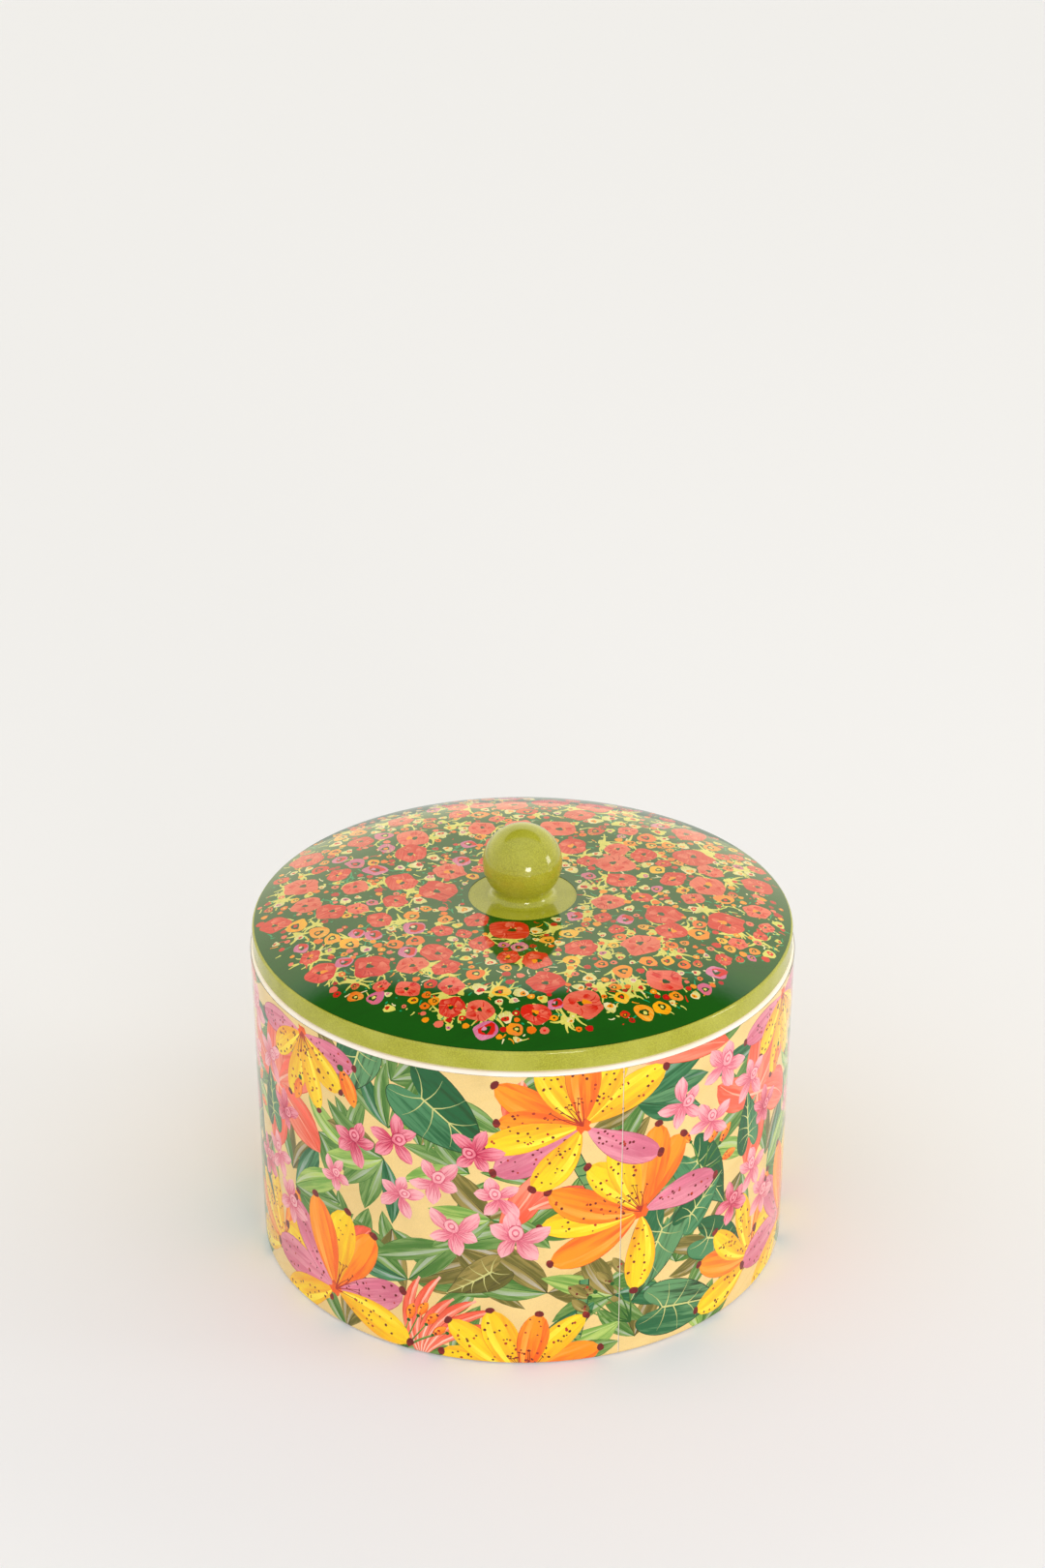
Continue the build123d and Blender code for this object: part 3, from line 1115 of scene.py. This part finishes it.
# %% [markdown]
# The arrangement is laid from the back forward: fans of blades, then arrow leaves and fronds, then
# buds, and the lilies and blossoms over all. Places are millimetres across the sheet, from the
# middle of the jar's front, and up from the table. The print's edges cut what crosses them.
# %% Arrange the garden
SHEETS = 3
SHEET_WIDE = math.tau * (foot_radius + DRAFT / 2) / SHEETS
JOIN_AT = 32.0
JOIN_GAP = 0.3
PRINT_LOW = 0.5
sheet_left = JOIN_AT - SHEET_WIDE


def foliage(sheet):
    """All that lies behind the flowers."""
    for row in range(5):
        for column in range(9):
            x = SHEET_WIDE * ((column + 0.5 * (row % 2) + uniform(0.1, 0.6)) / 9 - 0.5)
            y = 4 + row * 24 + uniform(-7, 7)
            turn, inks = uniform(0, 360), choice(("LSLT", "OL", "L"))
            fan(sheet, (x, y), 22, (turn, turn + 34, turn - 36), 6.5, inks)
    for x, y, reach, turns, width, inks in (
        (-46, 72, 26, (250, 276, 224, 196, 166, 148), 7.5, "LTLSOL"),
        (-44, 84, 25, (140, 42, 116, 64, 90), 6.5, "LSTLL"),
        (-38, 28, 31, (168, 4, 150, 24, 48), 9, "TLLOL"),
        (-22, 44, 30, (-24, 200, -44, 12), 8, "OLOL"),
        (-88, 44, 27, (-28, 58, 4, 28), 8, "LTLS"),
        (8, 28, 26, (-12, 172, 140, 24), 9, "OLOO"),
        (-10, 56, 24, (214, 130, 176, -30), 8, "LOSL"),
        (30, 24, 25, (200, 158, -20, 118), 8, "LSTO"),
        (2, 6, 30, (160, 38, 14), 9, "LTS"),
        (64, 68, 25, (200, -24, 24), 8, "LSL"),
        (36, 96, 28, (-20, 4, 24), 10, "TPT"),
        (90, 98, 24, (216, 186, -16), 7, "LTL"),
        (72, 6, 24, (164, 70, 34), 7, "SLT"),
    ):
        fan(sheet, (x, y), reach, turns, width, inks)
    for x, y, reach, turn, width in (
        (-98, 78, 31, 30, 14), (-98, 78, 26, 86, 13), (-98, 78, 29, -30, 15), (-98, 78, 27, 258, 14),
        (-98, 78, 26, 150, 12), (38, 109, 35, -5, 10), (0, 108, 16, 250, 9), (6, 76, 27, 240, 10),
        (2, 60, 22, 14, 7), (66, 40, 24, 300, 7), (-62, 24, 22, 62, 10),
    ):
        frond(sheet, (x, y), toward((x, y), turn, reach), width)


def garden():
    """Draws the whole sheet."""
    random.seed(7)
    left, right = sheet_left + JOIN_GAP / 2, JOIN_AT - JOIN_GAP / 2
    border = [(left, PRINT_LOW), (right, PRINT_LOW), (right, print_top), (left, print_top)]
    sheet = Sheet(border, CREAM, CREAM_DEEP, SHEET_WIDE, sheet_left)
    foliage(sheet)
    for x, y, length, turn, colours, broad in (
        (-32, 98, 30, -42, TEAL, 1.15), (-54, 110, 22, 250, PINE, 1.1), (60, 66, 26, -58, TEAL, 1.0),
        (47, 45, 28, 246, PINE, 1.0), (66, 34, 22, -28, TEAL, 1.05), (48, 14, 27, -14, PINE, 1.1),
        (58, 46, 18, 40, TEAL, 1.0), (86, 64, 18, 96, TEAL, 1.0), (-10, 36, 18, 214, OLIVE, 1.0),
    ):
        arrow_leaf(sheet, (x, y), length, turn, colours, broad)
    stalk(sheet, (27, 58), (6, 108), 4.2, 0.06)
    stalk(sheet, (14, 0), (20, 32), 3.4, -0.1)
    ribbons(sheet, (-34, -2), 34, 60)
    spray(sheet, (-42, -2), 24, 42, 66, 7, ORANGE)
    spray(sheet, (36, 12), 19, 128, 60, 5, OLIVE, 8)
    spray(sheet, (62, 60), 15, 60, 90, 4, ORANGE)
    fan(sheet, (6, 0), 27, (26, 12), 8, "SL")
    for x, y, reach, turns, inks in (
        (-80, 106, 26, (190, 222, 350, 252, 320, 286), "MYMYYY"),
        (90, 15, 28, (196, 160, 14, 136, 66, 40, 104, -12), "YOMYOYYY"),
        (-68, 13, 34, (158, 180, 206, 58, 128, 20, 78, 104, -18), "YMYOMMYOY"),
        (0, -5, 30, (164, 20, 140, 48, 112, 78), "YOYYYO"),
        (39, 54, 32, (206, 182, 6, 266, 158, 58, 80, 132, 104), "OYMYOOOYY"),
        (19, 90, 32, (150, 330, 210, 176, 234, 30, 194, 120, 62, 92), "OMMOYYYYYO"),
    ):
        lily(sheet, (x, y), reach, turns, inks)
    bud(sheet, (-62, 100), 14, 292, ORANGE)
    bud(sheet, (-82, 88), 10, 250, ORANGE)
    for x, y, reach, turn, colours in (
        (-57, 75, 9.5, 80, ROSE), (-42, 80, 10, 20, ROSE), (-15, 80, 9, 150, ROSE), (-28, 68, 9.5, 60, PINK),
        (-8, 64, 9, 100, PINK), (-40, 60, 8, 10, PINK), (-22, 50, 10, 130, PINK), (-2, 49, 11, 90, PINK),
        (71, 98, 10, 70, PINK), (54, 90, 9, 30, PINK), (66, 79, 9, 110, PINK), (86, 86, 9, 20, PINK),
        (89, 50, 9, 90, PINK), (78, 42, 9, 40, ROSE), (-92, 36, 10, 0, PINK), (-66, 58, 7, 50, PINK),
        (96, 70, 8, 10, ROSE),
    ):
        blossom(sheet, (x, y), reach, turn, colours)
    return sheet


# %% [markdown]
# The wall is a cone that is almost a cylinder, so a point of the sheet goes round by its distance
# across and up by its height. At the foot the print follows the rounded edge under the jar.
# Straight cuts every few millimetres let it bend. Only one sheet is cut. The other two are copies,
# turned by a third, and a hair of bare glaze shows where two sheets meet.
# %% Wrap the jar
WALL_CUTS = 48
FOOT_CUTS = (0.8, 1.15, 1.5, FOOT_EDGE, 2.6)


def wall_place(point):
    """Place and normal on the jar's outside of a point of the flat sheet."""
    angle = point[0] / (SHEET_WIDE * SHEETS) * math.tau
    slope = DRAFT / rim_height
    if point[1] >= FOOT_EDGE:
        radius, height, out = foot_radius + slope * point[1], point[1], Vector((1, -slope)).normalized()
    else:
        bend = (FOOT_EDGE - point[1]) / FOOT_EDGE
        out = Vector((math.cos(bend), -math.sin(bend)))
        radius = foot_radius + slope * FOOT_EDGE - FOOT_EDGE * (1 - out.x)
        height = FOOT_EDGE * (1 + out.y)
    round_to = Vector((math.sin(angle), -math.cos(angle)))
    return Vector((*(round_to * radius), height)), Vector((*(round_to * out.x), out.y))


def wrap_jar():
    """Cuts the sheet, wraps it, and turns two copies into place."""
    across = [sheet_left + SHEET_WIDE * step / WALL_CUTS for step in range(1, WALL_CUTS)]
    lines = [((x, 0), (x, rim_height)) for x in across]
    lines += [((sheet_left - 1, height), (JOIN_AT + 1, height)) for height in FOOT_CUTS]
    first = skin_object("jar_print_1", garden(), lines, wall_place, print_material("garden_print"))
    sheets = [first]
    for turn in range(1, SHEETS):
        copy = place_object(f"jar_print_{turn + 1}", first.data.copy())
        copy.rotation_euler.z = math.tau * turn / SHEETS
        sheets.append(copy)
    for sheet in sheets:
        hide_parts("jar_transfer")
        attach(sheet, "jar")


wrap_jar()

# %% [markdown]
# The lid's print is of another kind: a meadow seen from above, of coral poppies, orange rings,
# cream cups and pale splashes on deep green. Nothing in it is placed by hand. Flowers are dropped
# at random and kept only if they have room, the largest first, so they pack as they would grow.
# %% Inks for the meadow
GROUND, GROUND_DEEP, CENTRE = ink(52, 98, 36), ink(42, 86, 28), ink(44, 88, 28)
POPPY = (ink(210, 64, 60), ink(232, 118, 98), ink(190, 48, 40))
ROUND = (ink(242, 150, 14), ink(238, 120, 20), ink(246, 178, 48))
LACE, LACE_DEEP, MILK = ink(222, 212, 112), ink(204, 200, 96), ink(232, 218, 168)
BLUSH, SEA = (ink(206, 112, 144), ink(222, 146, 168), ink(190, 90, 132)), ink(60, 156, 106)
SCARLET = ink(222, 52, 34)


def poppy(sheet, at, reach):
    """A ragged poppy with paler patches, a few dark touches, a green eye and now and then orange."""
    paint, light, deep = choice((POPPY, POPPY, (POPPY[1], POPPY[0], POPPY[2])))
    flat, lean, turn = uniform(0.82, 1.0), uniform(0, 3), uniform(0, 360)
    outline = blob(at, reach, choice((4, 5, 6)), 0.09, 0.09, flat, lean, 15)
    sheet.lay(smoothed(outline, 1), paint, light, fade=0.3, streak=0.3)
    for step in range(3):
        angle = turn + step * 110 + uniform(-25, 25)
        spot = toward(at, angle, reach, 0.52)
        patch = blob(spot, reach * uniform(0.2, 0.34), 3, 0.2, 0.2, 0.8, math.radians(angle + 90), 11)
        sheet.lay(patch, light, paint, streak=0.2)
    for _ in range(5):
        angle = uniform(0, 360)
        near, far = toward(at, angle, reach, 0.4), toward(at, angle + 14, reach, 0.86)
        sheet.lay(stroke(near, far, 0.45, 0.15, uniform(-0.4, 0.4), 3), choice((deep, light)))
    eye = toward(at, turn, reach, 0.12)
    sheet.lay(blob(eye, reach * 0.2, 3, 0.2, 0.12, 0.8, lean, 9), CENTRE)
    for _ in range(3):
        spot = toward(eye, uniform(0, 360), reach, uniform(0.2, 0.3))
        sheet.lay(blob(spot, 0.3, rough=0.2, steps=5), choice((ROUND[0], LACE, SCARLET)))
    if random.random() < 0.4:
        accent = toward(eye, turn + 200, reach, 0.26)
        sheet.lay(blob(accent, reach * 0.24, 3, 0.25, 0.15, 0.7, lean, 9), ROUND[0])


def ring_flower(sheet, at, reach):
    """An orange, coral, cream or pink ring round a green eye."""
    paint = choice((ROUND[0], ROUND[0], ROUND[1], ROUND[2], POPPY[0], BLUSH[0]))
    outline = blob(at, reach, choice((3, 4, 5)), 0.1, 0.08, 0.88, uniform(0, 3), 11)
    sheet.lay(smoothed(outline, 1), paint, choice((ROUND[1], POPPY[1], LACE)), fade=0.3, streak=0.4)
    eye = toward(at, uniform(0, 360), reach, 0.14)
    sheet.lay(blob(eye, reach * 0.46, 3, 0.2, 0.14, 0.8, uniform(0, 3), 9), CENTRE)
    sheet.lay(blob(eye, reach * 0.22, rough=0.2, steps=6), choice((ROUND[0], LACE, SCARLET)))


def cup_flower(sheet, at, reach):
    """A cream cup with a coloured heart."""
    turn = uniform(0, 360)
    outline = blob(at, reach, 3, 0.16, 0.14, 0.82, math.radians(turn), 11)
    sheet.lay(outline, choice((MILK, LACE, MILK)), LACE_DEEP)
    heart = toward(at, turn, reach, 0.3)
    heart_ink = choice((POPPY[0], ROUND[0], BLUSH[0], ROUND[0], SCARLET))
    sheet.lay(blob(heart, reach * 0.5, 3, 0.15, 0.14, 0.75, math.radians(turn + 90), 8), heart_ink)
    sheet.lay(blob(heart, reach * 0.16, rough=0.2, steps=5), choice((CENTRE, LACE)))


def pink_flower(sheet, at, reach):
    """A pink and coral flower with a pale heart."""
    lean = uniform(0, 3)
    outline = smoothed(blob(at, reach, 4, 0.08, 0.1, 0.88, lean, 12), 1)
    sheet.lay(outline, BLUSH[0], BLUSH[1], fade=0.5, streak=0.4)
    inner = blob(toward(at, 40, reach, 0.2), reach * 0.7, 3, 0.16, 0.14, 0.8, lean, 11)
    sheet.lay(inner, POPPY[0], SCARLET)
    sheet.lay(blob(at, reach * 0.42, 3, 0.25, 0.16, 0.7, lean, 9), CENTRE)
    heart = blob(toward(at, 120, reach, 0.2), reach * 0.2, 3, 0.2, 0.2, steps=7)
    sheet.lay(heart, choice((MILK, BLUSH[1])))


def splash(sheet, at, reach):
    """A pale splash with ragged arms that wander off between the flowers."""
    sheet.lay(blob(at, reach * 0.42, 3, 0.3, 0.24, 0.7, uniform(0, 3), 12), LACE, LACE_DEEP, streak=0.2)
    for _ in range(6):
        turn = uniform(0, 360)
        near, far = toward(at, turn, reach, 0.2), toward(at, turn, reach, uniform(0.8, 1.4))
        sheet.lay(stroke(near, far, 1.2, 0.4, uniform(-0.4, 0.4), 4), LACE, LACE_DEEP, streak=0.2)


def curl(sheet, at, reach):
    """A curved pale stem with a few short leaves."""
    turn, bend = uniform(0, 360), choice((-0.5, 0.5))
    end = toward(at, turn, reach)
    paint = choice((LACE, LACE, SEA))
    sheet.lay(stroke(at, end, 0.6, 0.3, bend, 5), paint)
    for share in (0.35, 0.65, 0.95):
        root, along = bow(at, end, bend, share)
        side = left_of(along) * choice((-1, 1)) + along
        sheet.lay(stroke(root, root + side * reach * 0.16, 0.7, 0.3, 0.2, 3), paint)


def dash(sheet, at, reach):
    """A single touch of the brush."""
    turn = uniform(0, 360)
    paint = choice((LACE, LACE, SEA, SEA, SEA, MILK, POPPY[0], ROUND[0]))
    if random.random() < 0.6:
        outline = stroke(at, toward(at, turn, reach, 2.2), 0.6, 0.25, uniform(-0.4, 0.4), 3)
    else:
        outline = blob(at, reach * 0.5, rough=0.2, flat=0.6, lean=turn, steps=6)
    sheet.lay(outline, paint)


def bead(sheet, at, reach):
    """A round berry."""
    outline = blob(at, reach, 3, 0.08, 0.1, steps=8)
    sheet.lay(outline, choice((POPPY[0], POPPY[2], ROUND[1], ROUND[0], POPPY[1])))
    if random.random() < 0.4:
        sheet.lay(blob(at, reach * 0.36, rough=0.2, steps=5), choice((CENTRE, SCARLET, LACE)))


# %% [markdown]
# The meadow stops in an uneven line short of the lid's near edge and reaches it elsewhere. Stems,
# splashes and touches of the brush go down first and may lie on each other. Then each kind of
# flower is dropped with its own number and sizes, where it overlaps the others by a little at most.
# %% Drop the meadow
COLLAR = 6.9
LEAST_MARGIN = 0.3
CLOSEST = 0.9
LOOSE = ((curl, 170, 6, 10), (splash, 150, 3.5, 6.5), (dash, 1700, 0.7, 1.5))
FLOWERS = (
    (poppy, 44, 5.8, 6.9), (poppy, 70, 4.4, 5.8), (pink_flower, 50, 2.8, 4.4),
    (ring_flower, 200, 2.6, 4.0), (poppy, 150, 2.6, 4.2), (cup_flower, 330, 1.8, 3.0),
    (ring_flower, 380, 1.6, 2.5), (cup_flower, 520, 1.2, 2.0), (bead, 1500, 0.8, 1.6),
)


def meadow_edge(angle):
    """How far out the flowers reach in a direction."""
    front = max(0.0, -math.sin(angle))
    bays = (2.9 - 2.8 * math.cos(4 * angle) + 1.6 * front) * front
    return lid_print_radius - max(LEAST_MARGIN, bays + 1.2 * math.sin(9 * angle + 1) + 1.0)


def drop(sheet, inner, draw, tries, small, large, taken=None):
    """Draws one kind at random places. With a list, each keeps clear of those already in it."""
    for _ in range(tries):
        reach, angle = uniform(small, large), uniform(-math.pi, math.pi)
        out = math.sqrt(uniform(inner**2, lid_print_radius**2))
        at = Vector((out * math.cos(angle), out * math.sin(angle)))
        if out + reach > meadow_edge(angle) or out - reach < inner:
            continue
        if taken is None:
            draw(sheet, at, reach)
        elif all((at - other).length > (reach + size) * CLOSEST for other, size in taken):
            draw(sheet, at, reach)
            taken.append((at, reach))


def meadow():
    """Draws the whole sheet, a ring between the knob and the lid's edge."""
    random.seed(19)
    ring = [heading(2 * step) for step in range(180)]
    inner = knob_foot + COLLAR
    sheet = Sheet([spot * lid_print_radius for spot in ring], GROUND, GROUND_DEEP)
    taken = []
    for kind in LOOSE:
        drop(sheet, inner, *kind)
    for kind in FLOWERS:
        drop(sheet, inner, *kind, taken)
    sheet.hole = len(sheet.outlines)
    sheet.lay([spot * inner for spot in ring], GROUND)
    return sheet


# %% [markdown]
# The lid carries the sheet with little stretch: each point stays at its distance from the middle,
# and takes the height and slope there. The flat crown needs no cuts to bend, and the shoulder is
# cut by rings and spokes.
# %% Lay the meadow on the lid
def lid_place(point):
    """Place and normal on the lid's top of a point of the flat sheet."""
    out = Vector(point[:2])
    past = out.normalized() * max(0.0, out.length - LID_CROWN)
    place = Vector((out.x, out.y, lid_height(out.length)))
    return place, Vector((past.x, past.y, place.z - shoulder_centre)).normalized()


def print_lid():
    """Cuts the meadow and lays it on the lid."""
    reach = lid_print_radius + 1
    spokes = [heading(5 * step) for step in range(73)]
    rings = [LID_CROWN + (reach - LID_CROWN) * step / 7 for step in range(7)]
    lines = [(spoke * LID_CROWN, spoke * reach) for spoke in spokes[1:]]
    lines += [(spoke * ring, after * ring) for ring in rings for spoke, after in zip(spokes, spokes[1:])]
    made = skin_object("lid_print_1", meadow(), lines, lid_place, print_material("meadow_print"))
    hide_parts("lid_transfer")
    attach(made, "lid")


print_lid()
